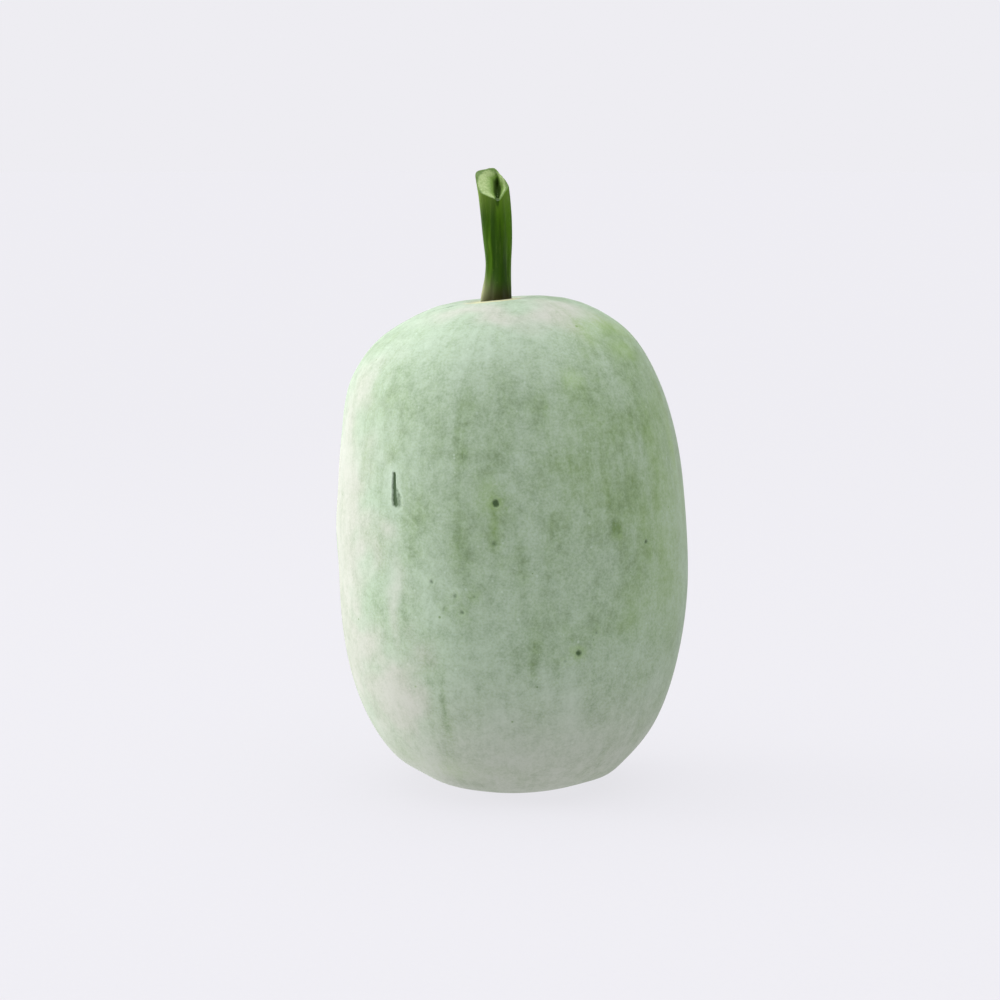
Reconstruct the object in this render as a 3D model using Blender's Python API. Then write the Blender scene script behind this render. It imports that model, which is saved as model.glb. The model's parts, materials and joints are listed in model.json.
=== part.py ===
"""Ash gourd, standing on its blossom end with its cut stem on top.

The fruit is one solid: a barrel with superelliptic ends, bent a little along its length, hollowed
slightly around the stem and flattened where it stands. The stem is the second solid: a ridged stalk
that flares at its foot and ends in a slanting cut. Metres, +Z up, origin at the centre of the flat
spot that the gourd stands on.
"""

import math

import bmesh
import bpy
from mathutils import Matrix, Vector

# Fruit
FRUIT_HALF_HEIGHT = 0.1230
FRUIT_HALF_WIDTH = 0.0865
DEPTH_SHARE = 0.97            # front-to-back width as a share of the side-to-side width
TOP_POWER = 2.97              # roundness of the upper end: 2 is an ellipse, more is squarer
BOTTOM_POWER = 2.93
TOP_POWER_SKEW = -0.30        # the +X shoulder is rounder than the -X shoulder
TOP_LEAN = 0.105              # radians that the upper end leans towards -X
BOTTOM_LEAN = 0.010           # radians that the lower end leans towards -X
LOBES = 3
LOBE_SHARE = 0.005            # how far the lobes stand out, as a share of the radius
FLAT_SPOT_DEPTH = 0.0014      # how much of the lower end the flat spot takes away

# Hollow that the stem grows from
SEAT_RADIUS = 0.0095
HOLLOW_RADIUS = 0.027
HOLLOW_DEPTH = 0.0016

# Stem
STEM_LENGTH = 0.0665
STEM_FOOT_RADIUS = 0.0083
STEM_WAIST_RADIUS = 0.0068
STEM_TOP_RADIUS = 0.0079
STEM_FOOT_HEIGHT = 0.012      # height over which the foot narrows to the waist
STEM_RIDGES = 5
RIDGE_SHARE = 0.07            # how far the ridges stand out, as a share of the radius
STEM_BOW = Vector((0.0085, 0.0034, 0.0))      # four times how far its middle bows out
STEM_DRIFT = Vector((-0.0045, 0.0030, 0.0))   # how far its top ends up from straight above its foot
CUT_SLANT = math.radians(44)  # slope of the cut end
CUT_FACING = math.radians(-68)  # compass direction that the cut end faces, from +X towards +Y
STEM_GAP = 0.0003             # clearance between stem and fruit

# Fineness of the faceted solids
FRUIT_MERIDIANS = 48
FRUIT_RINGS_PER_END = 16
RING_CROWDING = 1.25          # above 1, rings lie closer together near the two ends
STEM_SIDES = 30
STEM_RINGS = 16


def superellipse_reach(angle, power):
    """Distance from the fruit's centre to its outline, at this angle above the equator."""
    across = abs(math.cos(angle)) / FRUIT_HALF_WIDTH
    along = abs(math.sin(angle)) / FRUIT_HALF_HEIGHT
    return (across**power + along**power) ** (-1 / power)


def hollow_at(radius):
    """Depth of the hollow around the stem: flat under the stem, then a smooth slope up to the rim."""
    if radius <= SEAT_RADIUS:
        return HOLLOW_DEPTH
    if radius >= HOLLOW_RADIUS:
        return 0.0
    share = (radius - SEAT_RADIUS) / (HOLLOW_RADIUS - SEAT_RADIUS)
    return HOLLOW_DEPTH * (1 + math.cos(math.pi * share)) / 2


def bent(along, out_x, out_y):
    """Carries a point of the straight fruit to the bent one, whose two ends lean towards -X."""
    share = along / FRUIT_HALF_HEIGHT
    lean = TOP_LEAN if share > 0 else BOTTOM_LEAN
    tilt = lean * share
    shift = -FRUIT_HALF_HEIGHT * lean * share * share / 2
    return Vector((
        shift + out_x * math.cos(tilt),
        out_y,
        along + out_x * math.sin(tilt),
    ))


def fruit_point(angle, longitude):
    """Point of the fruit's surface at this angle above the equator and this compass direction."""
    power = TOP_POWER + TOP_POWER_SKEW * math.cos(longitude) if angle > 0 else BOTTOM_POWER
    reach = superellipse_reach(angle, power)
    radius = reach * math.cos(angle)
    along = reach * math.sin(angle)
    if angle > 0:
        along -= hollow_at(radius)
    radius *= 1 + LOBE_SHARE * math.cos(LOBES * longitude + 0.6)
    return bent(along, radius * math.cos(longitude), radius * DEPTH_SHARE * math.sin(longitude))


def ring_angles():
    """Angles above the equator of all rings, from the lowest to the highest, without the poles."""
    seat_angle = math.pi / 2 - math.atan(SEAT_RADIUS / FRUIT_HALF_HEIGHT)
    upper = [
        math.pi / 2 * (1 - (1 - k / FRUIT_RINGS_PER_END) ** RING_CROWDING)
        for k in range(1, FRUIT_RINGS_PER_END)
    ]
    upper = [a for a in upper if a < seat_angle - 0.02] + [seat_angle]
    return [-a for a in reversed(upper)] + [0.0] + upper


def turned_mesh(bm, rings, low_end, high_end):
    """Closes rings of points into one skin, with a fan of triangles onto each end point."""
    loops = [[bm.verts.new(p) for p in ring] for ring in rings]
    count = len(loops[0])
    for lower, upper in zip(loops, loops[1:]):
        for i in range(count):
            j = (i + 1) % count
            bm.faces.new((lower[i], lower[j], upper[j], upper[i]))
    low, high = bm.verts.new(low_end), bm.verts.new(high_end)
    for i in range(count):
        j = (i + 1) % count
        bm.faces.new((loops[0][j], loops[0][i], low))
        bm.faces.new((loops[-1][i], loops[-1][j], high))


def flatten_foot(bm):
    """Cuts the lower end off level, closes it with one flat face and returns that face's centre."""
    lowest = min(v.co.z for v in bm.verts)
    floor = lowest + FLAT_SPOT_DEPTH
    everything = bm.verts[:] + bm.edges[:] + bm.faces[:]
    cut = bmesh.ops.bisect_plane(
        bm,
        geom=everything,
        dist=1e-6,
        plane_co=(0, 0, floor),
        plane_no=(0, 0, -1),
        clear_outer=True,
    )
    rim = [e for e in cut["geom_cut"] if isinstance(e, bmesh.types.BMEdge)]
    foot = bmesh.ops.contextual_create(bm, geom=rim)["faces"][0]
    for vert in foot.verts:
        vert.co.z = floor
    return foot.calc_center_median_weighted()


def finished(name, bm, material, frame):
    """Turns a bmesh into a named object with its material, placed in the gourd's frame."""
    bmesh.ops.recalc_face_normals(bm, faces=bm.faces[:])
    mesh = bpy.data.meshes.new(name)
    bm.to_mesh(mesh)
    bm.free()
    mesh.materials.append(material)
    mesh.shade_smooth()
    mesh.set_sharp_from_angle(angle=math.radians(35))
    obj = bpy.data.objects.new(name, mesh)
    bpy.context.scene.collection.objects.link(obj)
    obj.parent = frame
    return obj


def principled(name, colour, roughness):
    material = bpy.data.materials.new(name)
    material.use_nodes = True
    shader = material.node_tree.nodes["Principled BSDF"]
    shader.inputs["Base Color"].default_value = (*colour, 1.0)
    shader.inputs["Roughness"].default_value = roughness
    shader.inputs["Metallic"].default_value = 0.0
    return material


def build_fruit(frame):
    """The fruit, with its flat spot. Returns the object and the centre of the flat spot."""
    bm = bmesh.new()
    step = 2 * math.pi / FRUIT_MERIDIANS
    rings = [
        [fruit_point(angle, i * step) for i in range(FRUIT_MERIDIANS)]
        for angle in ring_angles()
    ]
    low_pole = fruit_point(-math.pi / 2, 0.0)
    high_pole = fruit_point(math.pi / 2, 0.0)
    turned_mesh(bm, rings, low_pole, high_pole)
    foot = flatten_foot(bm)
    skin = principled("waxy_skin", (0.42, 0.53, 0.39), 0.6)
    return finished("fruit", bm, skin, frame), foot


def stem_radius(share, longitude):
    """Radius of the stem at this share of its length: flared foot, waist, thicker cut end."""
    flare = math.exp(-(share * STEM_LENGTH / STEM_FOOT_HEIGHT) ** 2)
    swell = share * share * (3 - 2 * share)
    radius = STEM_WAIST_RADIUS
    radius += (STEM_FOOT_RADIUS - STEM_WAIST_RADIUS) * flare
    radius += (STEM_TOP_RADIUS - STEM_WAIST_RADIUS) * swell
    return radius * (1 + RIDGE_SHARE * math.cos(STEM_RIDGES * longitude))


def stem_axis(share, foot):
    """Centreline of the stem at this share of its length: it bows a little and drifts as it rises."""
    rise = Vector((0.0, 0.0, STEM_LENGTH * share))
    return foot + rise + STEM_BOW * (share * (1 - share)) + STEM_DRIFT * share


def height_on_plane(point, origin, normal):
    """Height at which the upright line through a point meets the plane."""
    over = (point - origin).to_2d().dot(normal.to_2d())
    return origin.z - over / normal.z


def build_stem(frame):
    """The stem, standing on its seat in the fruit's hollow, with its slanting cut on top."""
    seat_normal = Vector((-math.sin(TOP_LEAN), 0.0, math.cos(TOP_LEAN)))
    foot = fruit_point(math.pi / 2, 0.0) + seat_normal * STEM_GAP
    cut_normal = Vector((
        math.sin(CUT_SLANT) * math.cos(CUT_FACING),
        math.sin(CUT_SLANT) * math.sin(CUT_FACING),
        math.cos(CUT_SLANT),
    ))
    # The highest edge of the slanting cut reaches the stem's full length.
    cut_centre = stem_axis(1.0, foot)
    cut_centre.z -= STEM_TOP_RADIUS * math.tan(CUT_SLANT)
    rings = []
    for k in range(STEM_RINGS + 1):
        share = k / STEM_RINGS
        centre = stem_axis(share, foot)
        ring = []
        for i in range(STEM_SIDES):
            longitude = 2 * math.pi * i / STEM_SIDES
            outward = Vector((math.cos(longitude), math.sin(longitude), 0.0))
            point = centre + outward * stem_radius(share, longitude)
            seat_z = height_on_plane(point, foot, seat_normal)
            cut_z = height_on_plane(point, cut_centre, cut_normal)
            point.z = seat_z + share * (cut_z - seat_z)
            ring.append(point)
        rings.append(ring)
    bm = bmesh.new()
    turned_mesh(bm, rings, foot, cut_centre)
    green = principled("stem_green", (0.09, 0.15, 0.035), 0.55)
    return finished("stem", bm, green, frame)


def clear_scene():
    for obj in list(bpy.data.objects):
        bpy.data.objects.remove(obj)


def build():
    clear_scene()
    frame = bpy.data.objects.new("gourd_frame", None)
    bpy.context.scene.collection.objects.link(frame)
    _, foot = build_fruit(frame)
    build_stem(frame)
    frame.matrix_world = Matrix.Translation(-foot)


build()
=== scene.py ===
"""Looks of the ash gourd: its bloom-covered rind, its cut stem, and a pale table to show it on."""
import json
import math

import bmesh
import bpy
import numpy as np
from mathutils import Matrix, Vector, noise

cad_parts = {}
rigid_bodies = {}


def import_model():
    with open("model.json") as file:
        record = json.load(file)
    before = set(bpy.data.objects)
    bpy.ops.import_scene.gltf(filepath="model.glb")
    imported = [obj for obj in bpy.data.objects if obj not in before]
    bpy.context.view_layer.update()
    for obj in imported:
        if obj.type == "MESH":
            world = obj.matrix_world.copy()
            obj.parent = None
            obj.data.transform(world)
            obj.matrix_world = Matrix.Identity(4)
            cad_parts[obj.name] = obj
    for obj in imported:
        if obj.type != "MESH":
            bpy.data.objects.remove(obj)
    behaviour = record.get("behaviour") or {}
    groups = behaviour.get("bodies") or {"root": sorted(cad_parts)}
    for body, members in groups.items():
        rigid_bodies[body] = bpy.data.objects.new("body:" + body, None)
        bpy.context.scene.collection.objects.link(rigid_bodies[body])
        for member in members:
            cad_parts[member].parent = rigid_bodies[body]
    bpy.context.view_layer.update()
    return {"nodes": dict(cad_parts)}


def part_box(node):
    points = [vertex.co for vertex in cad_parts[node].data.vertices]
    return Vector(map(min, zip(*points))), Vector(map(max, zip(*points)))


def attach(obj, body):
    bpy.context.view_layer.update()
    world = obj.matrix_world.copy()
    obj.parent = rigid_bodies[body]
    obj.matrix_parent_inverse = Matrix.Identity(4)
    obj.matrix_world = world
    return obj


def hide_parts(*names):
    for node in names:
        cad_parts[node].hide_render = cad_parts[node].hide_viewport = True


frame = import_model()

# ---------------------------------------------------------------------------------------------
# The gourd. A single fruit whose tough green rind is coated in pale wax bloom, thick where it was
# never touched and rubbed thin in streaks. It grew in one piece around the foot of its stem, and
# it stands on its flattened blossom end.
# ---------------------------------------------------------------------------------------------
gourd_low, gourd_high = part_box("fruit")
gourd_middle = (gourd_low + gourd_high) / 2
gourd_half = (gourd_high - gourd_low) / 2
CAGE_CUTS = 23


def only(obj):
    """Makes this object the only selected one, and the active one."""
    if bpy.context.mode != "OBJECT":
        bpy.ops.object.mode_set(mode="OBJECT")
    bpy.ops.object.select_all(action="DESELECT")
    obj.select_set(True)
    bpy.context.view_layer.objects.active = obj


def apply_modifier(obj, kind, **settings):
    """Adds one modifier and applies it at once."""
    only(obj)
    modifier = obj.modifiers.new(kind.title(), kind)
    for name, value in settings.items():
        setattr(modifier, name, value)
    bpy.ops.object.modifier_apply(modifier=modifier.name)


def edit(obj):
    """Opens the object in edit mode with nothing selected."""
    only(obj)
    bpy.ops.object.mode_set(mode="EDIT")
    bpy.ops.mesh.select_all(action="DESELECT")
    return bmesh.from_edit_mesh(obj.data)


def smooth_former(node):
    """A smoothed working copy of a CAD solid, for a skin to be wrapped onto. It is removed after use."""
    former = node.copy()
    former.data = node.data.copy()
    former.name = node.name + "_former"
    bpy.context.scene.collection.objects.link(former)
    for key in list(former.keys()):
        del former[key]
    edit(former)
    bpy.ops.mesh.select_all(action="SELECT")
    bpy.ops.mesh.remove_doubles(threshold=1e-6)
    bpy.ops.mesh.tris_convert_to_quads()
    bpy.ops.object.mode_set(mode="OBJECT")
    apply_modifier(former, "SUBSURF", levels=2, render_levels=2)
    return former


def wrap_onto(obj, former):
    apply_modifier(obj, "SHRINKWRAP", target=former, wrap_method="NEAREST_SURFACEPOINT")


gourd_former = smooth_former(frame["nodes"]["fruit"])


def on_side(bearing, height):
    """Point and normal of the gourd's side, this many degrees round from the front, positive to the right."""
    turn = math.radians(bearing)
    outward = Vector((math.sin(turn), -math.cos(turn), 0.0))
    _, point, normal, _ = gourd_former.ray_cast(Vector((0.0, 0.0, height)), outward)
    return point, normal


def on_top(x, y):
    """Point and normal of the gourd's upper end, straight below this place."""
    _, point, normal, _ = gourd_former.ray_cast(Vector((x, y, 1.0)), Vector((0.0, 0.0, -1.0)))
    return point, normal


def points_of(obj):
    flat = np.empty(len(obj.data.vertices) * 3, np.float32)
    obj.data.vertices.foreach_get("co", flat)
    return flat.reshape(-1, 3).astype(float)


def patch(points, place, across, along, wander=0.0):
    """Soft patch around a place on the skin, 1 in its middle: half-widths around the gourd and up it.

    It is an oval, unless each point is given a random direction to wander in."""
    middle, normal = place
    sideways = Vector((0, 0, 1)).cross(normal).normalized()
    upward = normal.cross(sideways)
    offset = points - np.array(middle) + 0.6 * min(across, along) * wander
    reach = (offset @ np.array(sideways) / across) ** 2 + (offset @ np.array(upward) / along) ** 2
    reach += (offset @ np.array(normal) / max(across, along)) ** 2
    return np.exp(-reach)


def press(obj, name, depths):
    """Pushes each point along its normal by its own depth: out where it is positive, in where negative."""
    for direction in (1, -1):
        most = float((direction * depths).max())
        if most <= 0:
            continue
        weights = direction * depths / most
        group = obj.vertex_groups.new(name=name)
        for index in np.flatnonzero(weights > 1e-3):
            group.add([int(index)], float(weights[index]), "REPLACE")
        apply_modifier(obj, "DISPLACE", vertex_group=group.name, strength=direction * most, mid_level=0.0)


# Growth has left the wall uneven. Where it stands proud or is drawn in: bearing, height, half-widths around
# the gourd and up it, and how far.
UNEVEN = [
    (90, 0.103, 0.055, 0.040, 0.0021),
    (90, 0.226, 0.045, 0.016, 0.0010),
    (90, 0.007, 0.040, 0.009, 0.0018),
    (-90, 0.131, 0.050, 0.014, 0.0014),
    (-90, 0.201, 0.040, 0.009, 0.0009),
    (-90, 0.178, 0.040, 0.011, -0.0006),
    (-90, 0.036, 0.060, 0.030, -0.0018),
    (-90, 0.233, 0.045, 0.015, -0.0011),
    (-90, 0.006, 0.040, 0.008, -0.0014),
]
former_points = points_of(gourd_former)
press(
    gourd_former,
    "uneven",
    sum(
        depth * patch(former_points, on_side(bearing, height), across, along)
        for bearing, height, across, along, depth in UNEVEN
    ),
)

# Broad swells all over, and low flutes that run from end to end.
swells = bpy.data.textures.new("swells", "CLOUDS")
swells.noise_scale = 0.05
swells.noise_depth = 1
apply_modifier(gourd_former, "DISPLACE", texture=swells, strength=0.0011, mid_level=0.5)


def displace_in_runs(obj, name, size, stretch, strength):
    """Low relief in long upright runs: soft noise of this size, drawn out this much along the upright."""
    texture = bpy.data.textures.new(name, "CLOUDS")
    texture.noise_scale = size
    texture.noise_depth = 1
    run = bpy.data.objects.new(name, None)
    bpy.context.scene.collection.objects.link(run)
    run.scale = (1.0, 1.0, stretch)
    bpy.context.view_layer.update()
    settings = {"texture_coords": "OBJECT", "texture_coords_object": run, "texture": texture}
    apply_modifier(obj, "DISPLACE", strength=strength, mid_level=0.5, **settings)
    bpy.data.objects.remove(run)


displace_in_runs(gourd_former, "flutes", 0.016, 8.0, 0.0006)

bpy.ops.object.select_all(action="DESELECT")
bpy.ops.mesh.primitive_cube_add(size=2, location=gourd_middle, scale=gourd_half)
gourd = bpy.context.active_object
gourd.name = "gourd_rind"
bpy.ops.object.transform_apply(location=True, rotation=False, scale=True)
edit(gourd)
bpy.ops.mesh.select_all(action="SELECT")
bpy.ops.mesh.subdivide(number_cuts=CAGE_CUTS)
bpy.ops.object.mode_set(mode="OBJECT")
apply_modifier(gourd, "SMOOTH", factor=0.8, iterations=30)
wrap_onto(gourd, gourd_former)
apply_modifier(gourd, "SMOOTH", factor=0.5, iterations=12)
wrap_onto(gourd, gourd_former)

# Healed scratches: how dark each has healed, and the points of the side that it runs through, with its
# half-width there.
SCRATCHES = [
    (1.00, [
        (-41.9, 0.1650, 0.0008),
        (-41.7, 0.1600, 0.0012),
        (-41.5, 0.1550, 0.0014),
        (-41.2, 0.1508, 0.0017),
    ]),
    (0.50, [(-40.6, 0.1575, 0.0012), (-40.0, 0.1540, 0.0022), (-39.8, 0.1507, 0.0024)]),
    (0.90, [(128.0, 0.1480, 0.0006), (131.0, 0.1395, 0.0013), (132.5, 0.1320, 0.0009)]),
    (0.70, [(-152.0, 0.0860, 0.0007), (-149.0, 0.0800, 0.0014), (-147.5, 0.0745, 0.0006)]),
]
# Small pits and spots of cork: bearing, height, radius, and how dark.
PITS = [
    (-5.7, 0.1535, 0.0017, 1.00),
    (-6.3, 0.1345, 0.0015, 0.45),
    (-3.1, 0.1245, 0.0013, 0.35),
    (3.6, 0.1180, 0.0012, 0.40),
    (22.3, 0.0806, 0.0017, 0.90),
    (17.6, 0.0772, 0.0011, 0.40),
    (28.5, 0.0900, 0.0010, 0.35),
    (18.0, 0.0915, 0.0009, 0.30),
    (48.8, 0.1312, 0.0014, 0.55),
    (37.0, 0.1375, 0.0012, 0.45),
    (24.1, 0.1487, 0.0011, 0.40),
    (-19.0, 0.1088, 0.0012, 0.45),
    (-12.8, 0.1088, 0.0010, 0.40),
    (-16.8, 0.1012, 0.0013, 0.50),
    (-23.0, 0.1025, 0.0010, 0.40),
    (-27.0, 0.1150, 0.0011, 0.40),
    (96.0, 0.1760, 0.0016, 0.90),
    (110.0, 0.0960, 0.0012, 0.60),
    (118.0, 0.1020, 0.0010, 0.45),
    (150.0, 0.1840, 0.0014, 0.70),
    (163.0, 0.1130, 0.0018, 0.95),
    (170.0, 0.1060, 0.0010, 0.45),
    (-172.0, 0.1560, 0.0012, 0.60),
    (-128.0, 0.1420, 0.0016, 0.85),
    (-120.0, 0.1360, 0.0011, 0.45),
    (-101.0, 0.0930, 0.0013, 0.55),
    (-84.0, 0.1890, 0.0011, 0.50),
]
# A thin dark line sunk into the upper shoulder, beside the hollow round the stem: place across the top,
# half-width.
SHOULDER_LINE_DARKNESS = 0.75
SHOULDER_DARK_LINE = [
    (-0.0390, -0.0118, 0.0006),
    (-0.0335, -0.0138, 0.0012),
    (-0.0265, -0.0146, 0.0013),
    (-0.0190, -0.0136, 0.0006),
]
BLOSSOM_SCAR_RADIUS = 0.0052
SEAT_RADIUS = 0.0082
FOOT_HEIGHT = 0.0050

mark_lines = [(dark, [(on_side(b, h)[0], w) for b, h, w in stations]) for dark, stations in SCRATCHES]
mark_lines.append((SHOULDER_LINE_DARKNESS, [(on_top(x, y)[0], w) for x, y, w in SHOULDER_DARK_LINE]))
pit_points = [(on_side(b, h)[0], radius, dark) for b, h, radius, dark in PITS]
blossom_end = Vector((0.0, 0.0, gourd_low.z))

# The middle of the stem's seat, felt from the lowest part of the stem.
stem_verts = [vert.co for vert in frame["nodes"]["stem"].data.vertices]
foot_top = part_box("stem")[0].z + FOOT_HEIGHT
stem_foot = [co for co in stem_verts if co.z < foot_top]
seat = on_top(*(sum(stem_foot, Vector()) / len(stem_foot)).xy)[0]


def distance_to_line(points, line):
    """Distance of every point from a line of (point, half-width) stations, and the half-width there."""
    best = np.full(len(points), 1e9)
    width = np.zeros(len(points))
    for (start, w0), (end, w1) in zip(line, line[1:]):
        a, d = np.array(start), np.array(end - start)
        share = np.clip((points - a) @ d / (d @ d), 0, 1)
        gap = np.linalg.norm(points - a - share[:, None] * d, axis=1)
        nearer = gap < best
        best[nearer] = gap[nearer]
        width[nearer] = (w0 + share * (w1 - w0))[nearer]
    return best, width


def refine_near_marks(reach):
    """Splits the faces in and around every mark in two each way, out to this far beyond its edge."""
    cage = edit(gourd)
    centres = np.array([f.calc_center_median() for f in cage.faces])
    wanted = np.linalg.norm(centres - np.array(blossom_end), axis=1) < BLOSSOM_SCAR_RADIUS + reach
    wanted |= np.linalg.norm(centres - np.array(seat), axis=1) < SEAT_RADIUS + 2 * reach
    for _, line in mark_lines:
        gap, width = distance_to_line(centres, line)
        wanted |= gap < width + reach
    for point, radius, _ in pit_points:
        wanted |= np.linalg.norm(centres - np.array(point), axis=1) < radius + reach
    for face, chosen in zip(cage.faces, wanted):
        face.select_set(bool(chosen))
    bmesh.update_edit_mesh(gourd.data)
    bpy.ops.mesh.subdivide(number_cuts=1)
    bpy.ops.object.mode_set(mode="OBJECT")


for reach in (0.0050, 0.0022):
    refine_near_marks(reach)
    wrap_onto(gourd, gourd_former)
apply_modifier(gourd, "SUBSURF", levels=2, render_levels=2)

# How far beyond its edge a mark has changed the skin, and where its raised lip lies, in half-widths.
SCRATCH_SPREAD = 0.0040
PIT_SPREAD = 0.0032
LIP_PLACE = 1.45
LIP_WIDTH = 0.35


def marks_at(points):
    """How deep each point lies in a mark, how far it stands on a mark's lip, and how near it is to a scratch
    and to a pit, all 0 to 1."""
    ragged = np.array([0.7 * noise.noise(Vector(p) * 900) + noise.noise(Vector(p) * 380) for p in points])
    sunk = np.zeros(len(points))
    lip = np.zeros(len(points))
    by_scratch = np.zeros(len(points))
    by_pit = np.zeros(len(points))
    gaps = [distance_to_line(points, line) + (dark, by_scratch, SCRATCH_SPREAD) for dark, line in mark_lines]
    for point, radius, dark in pit_points:
        gap = np.linalg.norm(points - np.array(point), axis=1)
        gaps.append((gap, np.full(len(points), radius), dark, by_pit, PIT_SPREAD))
    for gap, width, dark, nearness, spread in gaps:
        across = gap / np.maximum(width, 1e-6) + 0.26 * ragged
        sunk = np.maximum(sunk, dark * np.clip(1.2 - across, 0, 1) ** 0.7)
        lip = np.maximum(lip, dark * np.exp(-((across - LIP_PLACE) / LIP_WIDTH) ** 2))
        beyond = np.maximum(gap - width, 0) * (1.1 + 0.9 * ragged)
        np.maximum(nearness, dark * np.exp(-((beyond / spread) ** 2)), out=nearness)
    return sunk, lip, by_scratch, by_pit


def keep_layer(obj, name, values):
    """Stores one number for each point of the mesh, for the materials to read."""
    layer = obj.data.attributes.new(name, "FLOAT", "POINT")
    layer.data.foreach_set("value", values.astype(np.float32))


UNDERSIDE_HEIGHT = 0.02
SEAT_RING_WIDTH = 0.0100
SEAT_RING_WANDER = 0.0045

gourd_points = points_of(gourd)
sunk, lip, by_scratch, by_pit = marks_at(gourd_points)
scar_gap = np.linalg.norm((gourd_points - np.array(blossom_end))[:, :2], axis=1)
under = gourd_points[:, 2] < UNDERSIDE_HEIGHT
blossom = np.where(under, np.clip(1.2 - scar_gap / BLOSSOM_SCAR_RADIUS, 0, 1), 0.0)
seat_gap = np.linalg.norm(gourd_points - np.array(seat), axis=1) - SEAT_RADIUS
# A random direction at each point, so that no patch or ring has an even edge. Its seed is fixed, because it
# is otherwise the time of day, and the skin would be another one at each run.
WANDER_SEED = 1795149427
noise.seed_set(WANDER_SEED)
wander = np.array([
    noise.noise_vector(Vector(p) / 0.010) * 0.6 + noise.noise_vector(Vector(p) / 0.028) * 1.3
    for p in gourd_points
])
seat_ring = np.exp(-(((seat_gap + SEAT_RING_WANDER * wander[:, 0]) / SEAT_RING_WIDTH) ** 2))
keep_layer(gourd, "scar", sunk)
keep_layer(gourd, "blossom", blossom)
keep_layer(gourd, "seat", seat_ring)

# Where the bloom is thin, in long streaks and smudges, and where thinner bloom is painted shade, in the
# entries marked so: place, half-widths around the gourd and up it, and how much. The next three lists say the
# same of other states of the skin.
THIN_BLOOM_AND_SHADE = [
    (on_side(-18.5, 0.183), 0.0035, 0.024, 0.60),
    (on_side(-17.8, 0.141), 0.0034, 0.024, 0.36),
    (on_side(-15.5, 0.128), 0.0020, 0.016, 0.30),
    # Painted shade: darkens the right side, which faces away from the softbox.
    (on_side(63.0, 0.140), 0.0220, 0.090, 0.32),
    (on_side(-43.2, 0.1725), 0.0042, 0.006, 0.65),
    (on_side(37.0, 0.1385), 0.0055, 0.007, 0.75),
    (on_side(30.0, 0.155), 0.0090, 0.030, 0.35),
    (on_side(40.0, 0.175), 0.0080, 0.020, 0.30),
    (on_side(46.0, 0.125), 0.0060, 0.025, 0.40),
    (on_side(7.2, 0.080), 0.0028, 0.018, 0.55),
    (on_side(-24.5, 0.056), 0.0016, 0.012, 0.60),
    (on_side(-6.0, 0.143), 0.0030, 0.015, 0.50),
    (on_side(70.0, 0.160), 0.0200, 0.050, 0.30),
    (on_side(60.0, 0.218), 0.0160, 0.010, 0.45),
    (on_side(-36.0, 0.140), 0.0110, 0.050, 0.28),
    # Painted shade: a wide darkening of the right side, away from the softbox.
    (on_side(42.0, 0.168), 0.0420, 0.050, 0.42),
    (on_side(55.0, 0.232), 0.0260, 0.014, 0.40),
    (on_side(57.0, 0.172), 0.0190, 0.028, 0.62),
    (on_side(50.0, 0.120), 0.0200, 0.040, 0.16),
    (on_side(16.0, 0.174), 0.0560, 0.042, 0.19),
    (on_side(24.0, 0.173), 0.0260, 0.018, 0.46),
    (on_side(13.0, 0.200), 0.0220, 0.014, 0.40),
    # Painted shade on the upper left shoulder, in this entry and the next.
    (on_side(-42.0, 0.196), 0.0160, 0.022, 0.26),
    (on_side(-46.0, 0.214), 0.0140, 0.010, 0.30),
    (on_side(150.0, 0.130), 0.0300, 0.050, 0.35),
    (on_side(-140.0, 0.170), 0.0160, 0.045, 0.35),
    (on_side(118.0, 0.200), 0.0090, 0.022, 0.45),
    (on_side(-118.0, 0.110), 0.0040, 0.030, 0.50),
]
# Where it is thick and undisturbed.
THICK = [
    (on_side(-72.0, 0.110), 0.0330, 0.105, 0.90),
    (on_side(-42.0, 0.100), 0.0055, 0.035, 0.45),
    (on_side(-46.0, 0.055), 0.0260, 0.032, 0.80),
    (on_top(-0.012, -0.036), 0.0330, 0.016, 0.70),
    (on_top(0.022, -0.034), 0.0260, 0.018, 0.70),
    (on_side(-34.0, 0.055), 0.0080, 0.020, 0.60),
    (on_side(-66.0, 0.200), 0.0240, 0.032, 0.60),
    (on_side(-164.0, 0.070), 0.0300, 0.045, 0.60),
    (on_side(104.0, 0.075), 0.0200, 0.040, 0.50),
]
# Where it is a little fresher, in pale flecks, and one wide pale patch high on the front that is painted
# light.
FRESH_BLOOM_AND_LIGHT = [
    (on_side(1.0, 0.171), 0.0060, 0.006, 0.70),
    # Painted light: a wide pale patch high on the front, where light from above falls.
    (on_side(-6.0, 0.226), 0.0380, 0.018, 0.60),
    (on_side(-12.0, 0.105), 0.0300, 0.024, 0.42),
    (on_side(-3.0, 0.1650), 0.0032, 0.0026, 0.80),
    (on_side(-0.4, 0.1595), 0.0022, 0.0026, 0.80),
    (on_side(-7.0, 0.1285), 0.0024, 0.0020, 0.60),
    (on_side(20.0, 0.1000), 0.0050, 0.0060, 0.50),
    (on_side(-42.5, 0.1000), 0.0040, 0.0250, 0.60),
]
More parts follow.
